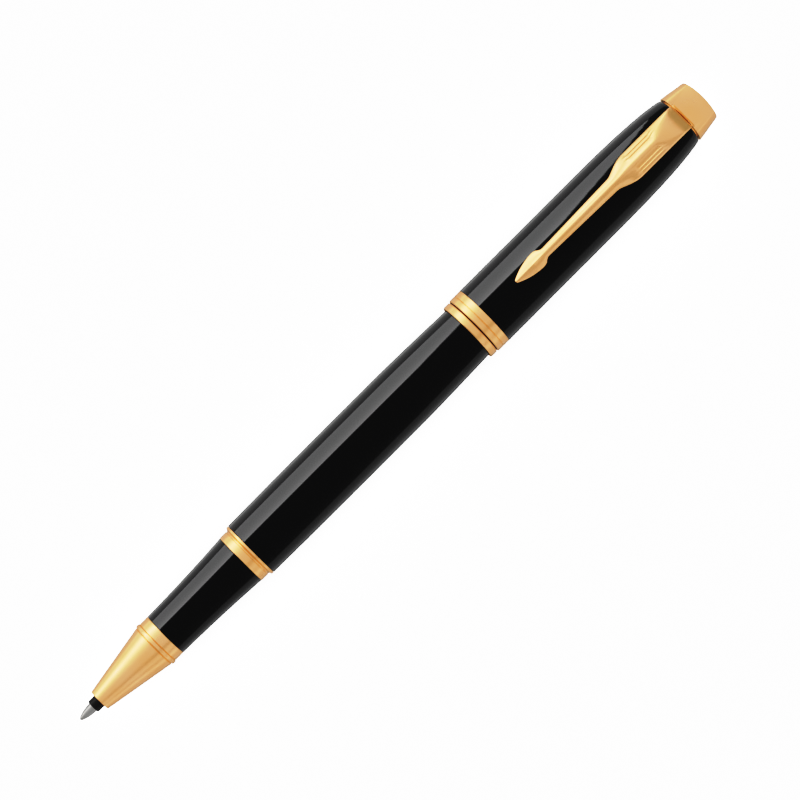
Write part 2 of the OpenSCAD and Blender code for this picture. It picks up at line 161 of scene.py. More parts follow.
def noise(tree, size, stretch=(1, 1, 1), detail=2):
    """A noise whose grain is size metres across, stretched along the pen's axes."""
    coords = add_node(tree, "TexCoord")
    scaled = add_node(tree, "Mapping", {"Vector": coords.outputs["Object"], "Scale": stretch})
    return add_node(
        tree, "TexNoise", {"Vector": scaled.outputs["Vector"], "Scale": 1 / size, "Detail": detail})


def spread(tree, source, low, high):
    """Spreads a noise between two values."""
    made = add_node(tree, "MapRange", {
        "Value": source.outputs["Fac"], "From Min": 0.3, "From Max": 0.7, "To Min": low, "To Max": high})
    return made.outputs["Result"]


def vary_roughness(tree, shader, source, low, high):
    """Feeds a noise to the shader as a roughness between two values."""
    tree.links.new(spread(tree, source, low, high), shader.inputs["Roughness"])


def relief(tree, shader, source, depth):
    """Feeds a pattern to the shader as a bump of that depth in metres."""
    bump = add_node(tree, "Bump", {"Height": source.outputs["Fac"], "Distance": depth, "Strength": 1})
    tree.links.new(bump.outputs["Normal"], shader.inputs["Normal"])


def black_lacquer(look):
    """Polyurethane lacquer, sprayed on brass and polished: a deep black and a clear, smooth gloss."""
    material, tree, shader = new_material("polished_black_lacquer", look.lacquer, IOR=1.5)
    vary_roughness(tree, shader, noise(tree, 9 * MM), 0.045, 0.075)
    relief(tree, shader, noise(tree, 2.2 * MM, detail=0), 0.0006 * MM)
    return material


def gold_plate(look):
    """Gold plate over satin-polished brass: a warm metal whose highlights are soft and faintly grained."""
    material, tree, shader = new_material("satin_gold_plate", look.gold, Metallic=1)
    vary_roughness(tree, shader, noise(tree, 3 * MM), 0.27, 0.31)
    relief(tree, shader, noise(tree, 0.06 * MM, stretch=(0.25, 1, 1)), 0.0004 * MM)
    tint = add_node(tree, "Mix", {"Factor": spread(tree, noise(tree, 6 * MM), 0, 1)}, data_type="RGBA")
    tint.inputs[6].default_value = (*look.gold, 1)
    tint.inputs[7].default_value = (*look.gold_warm, 1)
    tree.links.new(tint.outputs[2], shader.inputs["Base Color"])
    return material


def bare_brass(look):
    """Turned brass, left bare inside the pen: yellower and duller than the plate, with fine tool rings."""
    material, tree, shader = new_material("turned_brass", look.brass, Metallic=1)
    vary_roughness(tree, shader, noise(tree, 2 * MM), 0.28, 0.42)
    relief(tree, shader, noise(tree, 0.12 * MM, stretch=(1, 0.05, 0.05)), 0.002 * MM)
    return material


def nickel_silver(look):
    """Turned nickel silver, the metal of the writing point: a grey metal with fine tool rings."""
    material, tree, shader = new_material("turned_nickel_silver", look.point, Metallic=1)
    vary_roughness(tree, shader, noise(tree, 0.6 * MM), 0.3, 0.42)
    relief(tree, shader, noise(tree, 0.08 * MM, stretch=(1, 0.05, 0.05)), 0.001 * MM)
    return material


def carbide(look):
    """Polished tungsten carbide, the writing ball: a dark hard metal with a pitted skin."""
    material, tree, shader = new_material("tungsten_carbide", look.carbide, Metallic=1)
    vary_roughness(tree, shader, noise(tree, 0.05 * MM), 0.12, 0.25)
    return material


def drawn_steel(look):
    """Drawn steel, the ink tube and the spring: a cool grey with drawing lines along the pen."""
    material, tree, shader = new_material("drawn_steel", look.steel, Metallic=1)
    vary_roughness(tree, shader, noise(tree, 0.3 * MM, stretch=(0.05, 1, 1)), 0.24, 0.38)
    relief(tree, shader, noise(tree, 0.15 * MM, stretch=(0.04, 1, 1)), 0.001 * MM)
    return material


def point_holder_plastic(look):
    """Moulded polypropylene, the collar of the refill: a brown black with a soft gloss."""
    material, tree, shader = new_material("moulded_polypropylene", look.collar, IOR=1.49)
    vary_roughness(tree, shader, noise(tree, 0.4 * MM), 0.22, 0.36)
    relief(tree, shader, noise(tree, 0.25 * MM), 0.001 * MM)
    return material


def liner_plastic(look):
    """Moulded ABS, the cap's liner and the spring's seat: a plain black with a fine spark-eroded grain."""
    material, tree, shader = new_material("moulded_abs", look.liner, IOR=1.54)
    vary_roughness(tree, shader, noise(tree, 1 * MM), 0.4, 0.55)
    relief(tree, shader, noise(tree, 0.2 * MM), 0.004 * MM)
    return material


def inked_fibre(look):
    """Bonded polyester fibre full of black ink: dark, wet and combed along the pen."""
    material, tree, shader = new_material("inked_polyester_fibre", look.ink, IOR=1.45)
    vary_roughness(tree, shader, noise(tree, 0.2 * MM, stretch=(0.05, 1, 1)), 0.5, 0.75)
    relief(tree, shader, noise(tree, 0.12 * MM, stretch=(0.04, 1, 1)), 0.01 * MM)
    return material


def backdrop_glow(look):
    """The even glow of the backdrop."""
    material = bpy.data.materials.new("pale_backdrop_glow")
    material.use_nodes = True
    tree = material.node_tree
    tree.nodes.clear()
    glow = add_node(tree, "Emission", {"Color": (*look.floor, 1), "Strength": 3.5})
    tree.links.new(glow.outputs["Emission"], add_node(tree, "OutputMaterial").inputs["Surface"])
    return material


def studio_paper(look):
    """Matt coated paper under and behind the pen: a pale, even white."""
    material, tree, shader = new_material("matt_coated_paper", look.floor, IOR=1.45)
    vary_roughness(tree, shader, noise(tree, 40 * MM), 0.8, 0.9)
    return material


FINISHES = {
    "black_lacquer": black_lacquer,
    "gold_trim": gold_plate,
    "turned_brass": bare_brass,
    "point_steel": nickel_silver,
    "ball_carbide": carbide,
    "tube_steel": drawn_steel,
    "spring_steel": drawn_steel,
    "collar_plastic": point_holder_plastic,
    "liner_plastic": liner_plastic,
    "ink_fibre": inked_fibre,
    "studio_paper": studio_paper,
    "studio_backdrop": backdrop_glow,
}
made_materials = {}


def finish_of(slot):
    """The material of one slot, made once."""
    maker = FINISHES[slot]
    if maker not in made_materials:
        made_materials[maker] = maker(bpy.context.scene.pen_colours)
    return made_materials[maker]


# ---------------------------------------------------------------- modelling by operators

def start_clean():
    """Leaves edit mode and deselects everything."""
    if bpy.context.object and bpy.context.object.mode != "OBJECT":
        bpy.ops.object.mode_set(mode="OBJECT")
    bpy.ops.object.select_all(action="DESELECT")


def only(piece):
    """Makes a piece the one that is selected and active."""
    start_clean()
    piece.select_set(True)
    bpy.context.view_layer.objects.active = piece


def select_points(piece, wanted):
    """In edit mode, selects the vertices whose place passes the test."""
    bpy.ops.mesh.select_all(action="DESELECT")
    bpy.ops.mesh.select_mode(type="VERT")
    bpy.ops.object.mode_set(mode="OBJECT")
    for vertex in piece.data.vertices:
        vertex.select = wanted(vertex.co)
    bpy.ops.object.mode_set(mode="EDIT")


def draw_wire(name, points, closed=False):
    """Draws a chain of edges through points, and stays in edit mode."""
    start_clean()
    bpy.ops.mesh.primitive_plane_add(size=MM, location=(0, 0, 0))
    piece = bpy.context.object
    piece.name = name
    bpy.ops.object.mode_set(mode="EDIT")
    bpy.ops.mesh.select_mode(type="VERT")
    bpy.ops.mesh.select_all(action="SELECT")
    bpy.ops.mesh.merge(type="CENTER")
    last = Vector(points[0])
    bpy.ops.transform.translate(value=last)
    for point in points[1:]:
        step = Vector(point) - last
        bpy.ops.mesh.extrude_vertices_move(TRANSFORM_OT_translate={"value": step})
        last = Vector(point)
    if closed:
        close = 0.0005 * MM
        ends_of = (Vector(points[0]), Vector(points[-1]))
        select_points(piece, lambda co: any((co - e).length < close for e in ends_of))
        bpy.ops.mesh.edge_face_add()
    return piece


def soften_corners(piece, corners, segments=4):
    """Rounds corners of a drawn outline. A corner is a place and how far along its edges the round starts."""
    near = 0.0005 * MM
    for size in sorted({size for _, size in corners}):
        places = [Vector(place) for place, s in corners if s == size]
        select_points(piece, lambda co: any((co - p).length < near for p in places))
        bpy.ops.mesh.bevel(
            offset=size, offset_type="OFFSET", segments=segments, profile=0.5, affect="VERTICES")


def turned_piece(name, outline, hollow=False, steps=128):
    """Spins an outline round the pen's axis. Each point is x, radius and, for a rounded corner, its size.
    A hollow piece's outline is a closed ring, and a solid one's starts and ends on the axis."""
    places = [(p[0], 0, AXIS_Z + p[1]) for p in outline]
    corners = [(place, p[2]) for place, p in zip(places, outline) if len(p) > 2 and p[2]]
    piece = draw_wire(name, places, closed=hollow)
    soften_corners(piece, corners)
    bpy.ops.mesh.select_all(action="SELECT")
    bpy.ops.mesh.spin(steps=steps, angle=2 * math.pi, center=(0, 0, AXIS_Z), axis=(1, 0, 0))
    close_up()
    smooth(piece)
    return piece


def close_up():
    """Merges doubles and turns all faces outwards."""
    bpy.ops.mesh.select_all(action="SELECT")
    bpy.ops.mesh.remove_doubles(threshold=0.0002 * MM)
    bpy.ops.mesh.normals_make_consistent(inside=False)
    bpy.ops.object.mode_set(mode="OBJECT")


def smooth(piece, sharp=32):
    """Shades smoothly, with sharp edges kept above that angle in degrees."""
    only(piece)
    bpy.ops.object.shade_smooth_by_angle(angle=math.radians(sharp))


def apply_modifier(piece, kind, **settings):
    """Adds a modifier with its settings and applies it."""
    only(piece)
    modifier = piece.modifiers.new(kind.lower(), kind)
    for key, value in settings.items():
        setattr(modifier, key, value)
    bpy.ops.object.modifier_apply(modifier=modifier.name)


def cut_away(piece, cutter):
    """Takes the cutter's shape out of the piece, and removes the cutter."""
    apply_modifier(piece, "BOOLEAN", operation="DIFFERENCE", object=cutter, solver="EXACT")
    only(cutter)
    bpy.ops.object.delete()


def join_to(piece, others):
    """Joins other pieces to this one."""
    only(piece)
    for other in others:
        other.select_set(True)
    bpy.ops.object.join()
    return piece


def block(name, low, high):
    """A cutter between two corners."""
    start_clean()
    middle = [(a + b) / 2 for a, b in zip(low, high)]
    bpy.ops.mesh.primitive_cube_add(size=1, location=middle, scale=[b - a for a, b in zip(low, high)])
    piece = bpy.context.object
    piece.name = name
    bpy.ops.object.transform_apply(location=True, rotation=True, scale=True)
    return piece


def helix(name, profile, turns, pitch, start_x, steps=48):
    """Winds a closed profile of (x, radius) points round the pen's axis as a right-handed helix."""
    piece = draw_wire(name, [(x, 0, r) for x, r in profile], closed=True)
    bpy.ops.object.mode_set(mode="OBJECT")
    apply_modifier(
        piece, "SCREW", axis="X", angle=2 * math.pi * turns, screw_offset=pitch * turns,
        steps=int(steps * turns), render_steps=int(steps * turns), use_merge_vertices=False)
    bpy.ops.object.mode_set(mode="EDIT")
    bpy.ops.mesh.select_all(action="SELECT")
    bpy.ops.transform.translate(value=(start_x, 0, AXIS_Z))
    bpy.ops.mesh.select_all(action="DESELECT")
    bpy.ops.mesh.select_non_manifold()
    bpy.ops.mesh.edge_face_add()
    close_up()
    smooth(piece)
    return piece


def place(piece, body, slot, *nodes):
    """Gives a piece its finish, its body and the CAD nodes that it stands for."""
    piece.data.materials.clear()
    piece.data.materials.append(finish_of(slot))
    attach(piece, body)
    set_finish(piece, slot)
    if nodes:
        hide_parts(*nodes)


# ---------------------------------------------------------------- sizes and colours that a user can change

def length(name, description, value):
    """A size in millimetres, kept in metres."""
    return bpy.props.FloatProperty(
        name=name, description=description, default=value * MM, min=0, subtype="DISTANCE", unit="LENGTH",
        precision=5)


def tone(name, description, code):
    """A colour."""
    return bpy.props.FloatVectorProperty(
        name=name, description=description, default=srgb(code), min=0, max=1, size=3, subtype="COLOR")


class PenSizes(bpy.types.PropertyGroup):
    """Sizes of the details that the frame doesn't give"""

    belly_rise: length("Belly rise", "How far the barrel swells from its front to its belly", 0.135)
    belly_start: length("Belly start", "Barrel from its front to its belly", 23.55)
    belly_len: length("Belly", "Length of the straight belly", 12)
    barrel_end_r: length("Barrel end", "Radius of the barrel's rear end", 4.4)
    taper_bend: length("Taper bend", "Where the barrel's taper bends, from its rear end", 33.1)
    barrel_wall: length("Barrel wall", "Wall of the barrel", 0.59)
    fine_line: length("Fine line", "Depth and width of the fine lines beside the nose cone's bead", 0.09)
    thread_pitch: length("Thread pitch", "Pitch of the thread between section and barrel", 1)
    thread_depth: length("Thread depth", "Depth of that thread", 0.28)
    line_width: length("Engraved line", "Width of the engraved line round the cap band", 0.18)
    shoulder_len: length("Shoulder", "Length of the cap's rounded shoulder", 20)
    shoulder_drop: length("Shoulder drop", "How far the cap's shoulder draws in", 1.05)
    end_round: length("Cap end", "Rounding of the cap's rear edge", 0.4)
    clip_head_len: length("Clip head", "Length of the clip's head", 13.45)
    clip_shank: length("Clip shank", "Width of the clip where its head begins", 2.66)
    clip_waist: length("Clip waist", "Width of the clip behind its pad", 1.8)
    clip_pad: length("Clip pad", "Greatest width of the clip's drop-shaped pad", 3.3)
    clip_pad_len: length("Clip pad length", "Length of the clip's pad", 7.3)
    clip_rib: length("Clip rib", "Half the width of the rib on the clip's head", 0.6)
    clip_bevel: length("Clip bevel", "Width of the bevel round the clip's head", 0.24)
    clip_inset: length("Clip inset", "How far the clip ends short of the end of its place in the frame", 0.61)
    clip_thickness: length("Clip thickness", "Thickness of the clip's blade", 1.1)
    finial_rim: length("Finial rim", "Length of the finial's thin rim, before its flat front begins", 0.1)
    dome_rise: length("Dome", "Height of the finial's domed top", 0.8)


class PenColours(bpy.types.PropertyGroup):
    """Colours of the pen's materials"""

    lacquer: tone("Lacquer", "Black lacquer on barrel, grip and cap", "#050506")
    gold: tone("Gold", "Gold plate", "#ffce96")
    gold_warm: tone("Warm gold", "Gold plate where it is a little warmer", "#fec98c")
    brass: tone("Brass", "Bare brass inside the pen", "#cfae6c")
    point: tone("Point", "Nickel silver of the writing point", "#a9a8a6")
    carbide: tone("Ball", "Carbide of the writing ball", "#8f9094")
    steel: tone("Steel", "Steel of the ink tube and the spring", "#bdbfc2")
    collar: tone("Collar", "Plastic that holds the point", "#0d0807")
    liner: tone("Liner", "Plastic inside the cap", "#161617")
    ink: tone("Ink", "Inked fibre", "#12131f")
    floor: tone("Paper", "Studio paper", "#f4f4f4")


# ---------------------------------------------------------------- the pieces

def barrel_taper(x, sizes):
    """The barrel's outer radius behind its belly: a quadratic curve that starts level with the belly."""
    front, rear = ends("barrel_tube")
    belly_end = front + sizes.belly_start + sizes.belly_len
    bend_x = rear - sizes.taper_bend
    run, rest, d = bend_x - belly_end, belly_end - 2 * bend_x + rear, max(x - belly_end, 0)
    share = d / (run + math.sqrt(run * run + rest * d))
    return mix(radius("barrel_tube"), sizes.barrel_end_r, share * share)


def core_tube():
    """The radius of the core's plain tube, on which grip, nose cone and ring sit."""
    return radius("section_core") - 0.3 * MM


def build_barrel(sizes):
    """The lacquered barrel: a slight belly, a long taper into the cap and a closed round end."""
    front, rear = ends("barrel_tube")
    belly = radius("barrel_tube")
    bore = radius("barrel_insert")
    wall = sizes.barrel_wall
    belly_x = front + sizes.belly_start
    taper_x = belly_x + sizes.belly_len
    floor_x, seat_x = rear - 1.4 * MM, ends("spring_seat")[1] - 3.5 * MM
    seat_r = radius("spring_seat")
    steps = 28
    taper = [mix(taper_x, rear, i / steps) for i in range(steps)]
    outer = [(x, barrel_taper(x, sizes)) for x in taper]
    inner = [(x, min(bore, barrel_taper(x, sizes) - wall)) for x in taper if x < seat_x]
    mouth = belly - sizes.belly_rise
    outline = [
        (front, bore, 0.05 * MM), (front, mouth, 0.06 * MM),
        *bend((front, mouth), (mix(front, belly_x, 0.5), belly), (belly_x, belly))[1:], *outer,
        (rear, sizes.barrel_end_r, 0.6 * MM), (rear, 0), (floor_x, 0), (floor_x, seat_r), (seat_x, seat_r),
        *reversed(inner),
    ]
    place(turned_piece("barrel_shell", outline, hollow=True), "barrel", "black_lacquer", "barrel_tube")


def build_grip():
    """The lacquered grip sleeve, which flares towards the barrel and stops just clear of the ring."""
    front, rear = ends("grip_sleeve")
    rear -= 0.03 * MM
    bore = core_tube()
    slim, wide = radius("grip_sleeve") - 0.75 * MM, radius("grip_sleeve")
    edge = 0.05 * MM
    flare = bend((front, slim), (mix(front, rear, 0.53), slim + 0.14 * MM), (rear, wide), 28)
    outline = [(front, bore), (front, slim, edge), *flare[1:-1], (rear, wide, edge), (rear, bore)]
    place(turned_piece("grip_shell", outline, hollow=True), "section", "black_lacquer", "grip_sleeve")


def build_nose(sizes):
    """The gold nose cone: straight cone, a bead between fine grooves, and a plain band."""
    front, rear = ends("nose_cone")
    core = core_tube()
    tube = core - 0.8 * MM
    bead = radius("nose_cone") + 0.04 * MM
    band = bead - 0.195 * MM
    cone = band - 0.06 * MM
    face, hole, stop = 2.1 * MM, 1.35 * MM, 1.85 * MM
    bead_x, band_x = rear - 2.82 * MM, rear - 1.98 * MM
    line = sizes.fine_line
    outline = [
        (front, hole, 0.06 * MM), (front, face, 0.15 * MM),
        (bead_x - 1.6 * line, cone, 0.03 * MM), (bead_x - 0.8 * line, cone - line), (bead_x, cone - line / 2),
        (bead_x + 0.04 * MM, bead - 0.1 * MM, 0.05 * MM),
        (mix(bead_x, band_x, 0.3), bead, 0.1 * MM), (mix(bead_x, band_x, 0.7), bead, 0.1 * MM),
        (band_x - 0.04 * MM, bead - 0.1 * MM, 0.05 * MM), (band_x, band - line),
        (band_x + line, band, 0.03 * MM),
        (rear - 0.12 * MM, band, 0.04 * MM), (rear, band - 0.1 * MM, 0.03 * MM),
        (rear, core), (rear - 2.15 * MM, core), (rear - 2.15 * MM, tube), (rear - 4.8 * MM, tube),
        (front + 3.4 * MM, stop), (front + 3.4 * MM, hole),
    ]
    place(turned_piece("nose_cone_shell", outline, hollow=True), "section", "gold_trim", "nose_cone")


def build_section_ring():
    """The gold ring between grip and barrel: a straight front band, a hollow neck and a flange."""
    front, rear = ends("section_ring")
    flange = radius("section_ring")
    core = core_tube()
    band = radius("grip_sleeve") + 0.06 * MM
    neck = band - 0.1 * MM
    neck_x, flange_x = front + 1.5 * MM, rear - 0.5 * MM
    hollow_neck = bend(
        (neck_x + 0.1 * MM, neck), (flange_x - 0.1 * MM, neck), (flange_x, flange - 0.08 * MM), 10)
    outline = [
        (front, core), (front, band - 0.08 * MM, 0.03 * MM), (front + 0.1 * MM, band, 0.04 * MM),
        (neck_x, band, 0.05 * MM), *hollow_neck, (flange_x + 0.08 * MM, flange, 0.04 * MM),
        (rear, flange, 0.05 * MM), (rear, core),
    ]
    ring = turned_piece("section_ring_turned", outline, hollow=True)
    place(ring, "section_collar", "gold_trim", "section_ring")


def build_section_core(sizes):
    """The brass core: its plain tube inside the grip, and the screwed shank that goes into the barrel."""
    front, rear = ends("section_core")
    shank = radius("section_core")
    tube, bore = core_tube(), radius("refill_tube") + 0.1 * MM
    shank_x = ends("section_ring")[1]
    root = shank - sizes.thread_depth
    outline = [
        (front, bore), (front, tube, 0.1 * MM), (shank_x, tube), (shank_x, shank, 0.06 * MM),
        (shank_x + 0.5 * MM, shank, 0.06 * MM), (shank_x + 0.75 * MM, root),
        (rear - 0.2 * MM, root, 0.1 * MM), (rear, root - 0.2 * MM), (rear, bore),
    ]
    core = turned_piece("section_core_turned", outline, hollow=True)
    pitch, depth = sizes.thread_pitch, sizes.thread_depth
    thread_x, sunk = shank_x + 1.1 * MM, root - 0.05 * MM
    turns = int((rear - shank_x - 1.1 * MM) / pitch)
    foot, crest = 0.36 * pitch, 0.09 * pitch
    profile = [(-foot, sunk), (-crest, root + depth), (crest, root + depth), (foot, sunk)]
    thread = helix("section_thread", profile, turns, pitch, thread_x)
    place(join_to(core, [thread]), "section", "turned_brass", "section_core")


def build_insert(sizes):
    """The brass insert in the barrel, with thread grooves in its bore."""
    front, rear = ends("barrel_insert")
    outer, bore = radius("barrel_insert"), radius("section_core") + 0.05 * MM
    pitch, depth = sizes.thread_pitch, 0.22 * MM
    outline = [(front, bore + 0.15 * MM, 0.05 * MM), (front, outer), (rear, outer), (rear, bore)]
    x = rear - 0.5 * pitch
    while x - 0.5 * pitch > front + 0.3 * MM:
        outline += [
            (x, bore), (x - 0.32 * pitch, bore + depth), (x - 0.5 * pitch, bore + depth),
            (x - 0.82 * pitch, bore),
        ]
        x -= pitch
    insert = turned_piece("barrel_insert_turned", outline, hollow=True)
    place(insert, "barrel", "turned_brass", "barrel_insert")


def build_point():
    """The writing point: a bright ogive round the ball, and a plain stem."""
    front, rear = ends("refill_point")
    tip, ball = ends("writing_ball")[0], radius("writing_ball")
    base_x, base = ends("refill_collar")[0], radius("refill_point")
    lip, stem, feed = ball + 0.05 * MM, base - 0.02 * MM, 0.2 * MM
    mouth = math.sqrt(ball ** 2 - (tip + ball - front) ** 2) + 0.01 * MM
    ogive = bend((front, lip), (mix(tip, base_x, 0.4), base * 0.92), (base_x - 0.1 * MM, base), 20)
    outline = [
        (front, mouth), *ogive, (base_x, base, 0.03 * MM), (base_x + 0.1 * MM, stem), (rear, stem),
        (rear, feed), (front + ball, feed),
    ]
    point = turned_piece("writing_point", outline, hollow=True, steps=64)
    place(point, "refill", "point_steel", "refill_point")


def build_collar():
    """The dark plastic that holds the point, with its step inside the nose cone."""
    front, rear = ends("refill_collar")
    small, large, feed = 1.3 * MM, radius("refill_collar"), 0.55 * MM
    bore, tail_x = radius("refill_point"), ends("refill_point")[1]
    step_x, tube_x = ends("nose_cone")[0] + 3.45 * MM, ends("refill_tube")[0]
    outline = [
        (front, bore), (front, small - 0.15 * MM, 0.05 * MM), (front + 0.2 * MM, small, 0.08 * MM),
        (step_x, small), (step_x, small + 0.4 * MM, 0.06 * MM), (tube_x, large), (rear, large, 0.1 * MM),
        (rear, feed), (tail_x, feed), (tail_x, bore),
    ]
    holder = turned_piece("point_holder", outline, hollow=True, steps=96)
    place(holder, "refill", "collar_plastic", "refill_collar")


def build_ink_tube():
    """The drawn steel ink tube, rolled in at both ends and crimped over the end plug."""
    front, rear = ends("refill_tube")
    outer, bore = radius("refill_tube"), radius("refill_collar")
    crimp_x, crimp = rear - 2.5 * MM, 0.15 * MM
    outline = [
        (front, bore), (front, outer, 0.15 * MM), (crimp_x - 0.5 * MM, outer, 0.1 * MM),
        (crimp_x, outer - crimp, 0.15 * MM), (crimp_x + 0.5 * MM, outer, 0.1 * MM), (rear, outer, 0.1 * MM),
        (rear, bore),
    ]
    place(turned_piece("ink_tube", outline, hollow=True, steps=96), "refill", "tube_steel", "refill_tube")


def build_spring():
    """The refill spring: round wire in six turns, built at one fixed length; in the real pen it shortens as
    the refill is pressed back.
    """
    front, rear = ends("refill_spring")
    wire = 0.2 * MM
    mean = radius("refill_spring") - wire
    turns = 6
    corners = 12
    angles = [2 * math.pi * k / corners for k in range(corners)]
    profile = [(wire * math.cos(angle), mean + wire * math.sin(angle)) for angle in angles]
    coil = helix("refill_coil", profile, turns, (rear - front - 2 * wire) / turns, front + wire)
    place(coil, "barrel", "spring_steel", "refill_spring")
    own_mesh(coil)


def build_cap_tube(sizes):
    """The lacquered cap tube: straight, then a rounded shoulder that draws in to the finial."""
    front, rear = ends("cap_tube")
    outer, liner = radius("cap_tube"), radius("inner_cap")
    end, edge = outer - sizes.shoulder_drop, outer - sizes.shoulder_drop - sizes.end_round
    shoulder_x, round_x = rear - sizes.shoulder_len, rear - 2 * sizes.end_round
    tail, room, hole = liner - 0.56 * MM, end - 0.72 * MM, 1.6 * MM
    liner_x, room_x, wall_x = shoulder_x - 0.9 * MM, ends("inner_cap")[1] + 0.3 * MM, rear - 2 * MM
    shoulder = bend((shoulder_x, outer), (mix(shoulder_x, round_x, 0.69), outer), (round_x, end), 36)
    rounded = bend((round_x, end), (rear, mix(end, edge, 0.3)), (rear, edge), 8)
    outline = [
        (front, liner), (front, outer, 0.05 * MM), *shoulder, *rounded[1:], (rear, hole), (wall_x, hole),
        (wall_x, room), (room_x, room), (room_x, tail), (liner_x, tail), (liner_x, liner),
    ]
    place(turned_piece("cap_shell", outline, hollow=True), "cap", "black_lacquer", "cap_tube")


def build_cap_rings(sizes):
    """The gold lip ring and the cap band with its engraved line."""
    bore = radius("inner_cap")
    front, rear = ends("cap_lip_ring")
    outer = radius("cap_lip_ring")
    lip = [
        (front, bore, 0.05 * MM), (front, outer - 0.16 * MM, 0.06 * MM),
        (front + 0.18 * MM, outer, 0.08 * MM), (rear - 0.14 * MM, outer, 0.05 * MM),
        (rear, outer - 0.14 * MM, 0.04 * MM), (rear, bore),
    ]
    place(turned_piece("lip_ring", lip, hollow=True), "cap_lip", "gold_trim", "cap_lip_ring")
    front, rear = ends("cap_band")
    outer = radius("cap_band")
    line_x, half, depth = mix(front, rear, 0.46), sizes.line_width / 2, 0.1 * MM
    band = [
        (front, bore), (front, outer - 0.12 * MM, 0.04 * MM), (front + 0.12 * MM, outer, 0.04 * MM),
        (line_x - half, outer), (line_x - half * 0.3, outer - depth), (line_x + half * 0.3, outer - depth),
        (line_x + half, outer), (rear - 0.06 * MM, outer), (rear, outer - 0.06 * MM), (rear, bore),
    ]
    place(turned_piece("cap_band_turned", band, hollow=True), "cap", "gold_trim", "cap_band")


def along(outline, x):
    """The height of an outline at x, for an outline of (x, height) points in order of x."""
    for (x0, y0), (x1, y1) in zip(outline, outline[1:]):
        if x <= x1:
            return mix(y0, y1, min(max((x - x0) / max(x1 - x0, 1e-12), 0), 1))
    return outline[-1][1]


def clip_places(sizes):
    """Where the clip's tip is, where it ends before the finial, and where its head begins."""
    tip, root = ends("clip")
    return tip, root - sizes.clip_inset, root - sizes.clip_head_len


def clip_plan(sizes):
    """Half of the clip seen from above: a drop-shaped pad, a slim shank, a flared head and round corners."""
    tip, back, head_x = clip_places(sizes)
    head = radius("clip")
    pad, waist, shank = sizes.clip_pad / 2, sizes.clip_waist / 2, sizes.clip_shank / 2
    nose, nose_x, pad_x = pad * 0.21, tip + 0.15 * MM, tip + sizes.clip_pad_len
    wide_x = mix(tip, pad_x, 0.71)
    turn = (mix(wide_x, pad_x, 0.62), mix(pad, waist, 0.5))
    steps, flare_len = 16, 4.8 * MM
    flare = [(head_x - flare_len * (1 - i / steps), mix(shank, head, ease((i / steps) ** 0.75)))
             for i in range(steps + 1)]
    corner = 0.5 * MM
    return (
        bend((tip, 0), (tip, nose), (nose_x, nose))
        + bend((nose_x, nose), (mix(nose_x, wide_x, 0.45), pad * 0.91), (wide_x, pad))
        + bend((wide_x, pad), (mix(wide_x, turn[0], 0.75), pad), turn)
        + bend(turn, (mix(turn[0], pad_x, 0.4), waist), (pad_x, waist))
        + flare
        + bend((back - corner, head), (back, head), (back, head - corner))
    )


def clip_side(sizes):
    """The clip seen from the side: its ridge, from the tip over the crest to the root, and its underside."""
    low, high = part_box("clip")
    tip, back, head_x = clip_places(sizes)
    top, foot_z = high.z, low.z + 0.36 * MM
    touch = AXIS_Z + radius("cap_tube") + 0.05 * MM
    blade = top - sizes.clip_thickness
    steps = 60
    ridge = bend(
        (tip, touch + 0.75 * MM), (tip + 6 * MM, top - 0.6 * MM), (head_x - 8 * MM, top - 0.1 * MM), steps)
    ridge += bend((head_x + 2 * MM, top), (back, top), (back, foot_z), steps)
    foot_x = tip + 2.6 * MM
    under = bend((tip, touch + 0.5 * MM), (tip + 1.2 * MM, touch), (foot_x, touch))
    under += bend((foot_x + 0.6 * MM, touch), (foot_x + 8 * MM, blade - 0.1 * MM), (head_x, blade))
    return ridge, under


def step_along(path, distance):
    """The place and the upward normal at a distance along a path of (x, z) points."""
    for start, end in zip(path, path[1:]):
        step = Vector(end) - Vector(start)
        if distance <= step.length or end == path[-1]:
            direction = step.normalized()
            return Vector(start) + direction * min(distance, step.length), Vector((-direction.y, direction.x))
        distance -= step.length


def clip_loop(spot, normal, half, rib, rib_height, slopes, bevel, thickness, flute):
    """One closed cross-section of the clip: rounded rib, sloping wings with two flutes each, bevelled sides.
    A wing has one slope up to its middle and another from there on."""
    inner = half - bevel
    rib = min(rib, inner - 0.03 * MM)
    bend_y = mix(rib, inner, 0.5)

    def wing(y):
        return rib_height + slopes[0] * (min(y, bend_y) - rib) + slopes[1] * max(y - bend_y, 0)

    right = [(rib * 0.35, rib_height * 0.08), (rib * 0.7, rib_height * 0.42), (rib, rib_height)]
    groove = min(0.13 * MM, (inner - rib) * 0.1)
    for share in (0.37, 0.7):
        middle = mix(rib, inner, share)
        for offset, depth in ((-groove, 0), (0, flute), (groove, 0)):
            right.append((middle + offset, wing(middle + offset) + depth))
    edge = wing(inner)
    foot = max(thickness, edge + bevel + 0.08 * MM)
    right += [(inner, edge), (half, edge + bevel), (half, foot - 0.05 * MM), (half - 0.08 * MM, foot)]
    ring = [(0, 0)] + right + [(-y, h) for y, h in reversed(right)]
    return draw_wire(
        "clip_loop", [(spot.x - normal.x * h, y, spot.y - normal.y * h) for y, h in ring], closed=True)


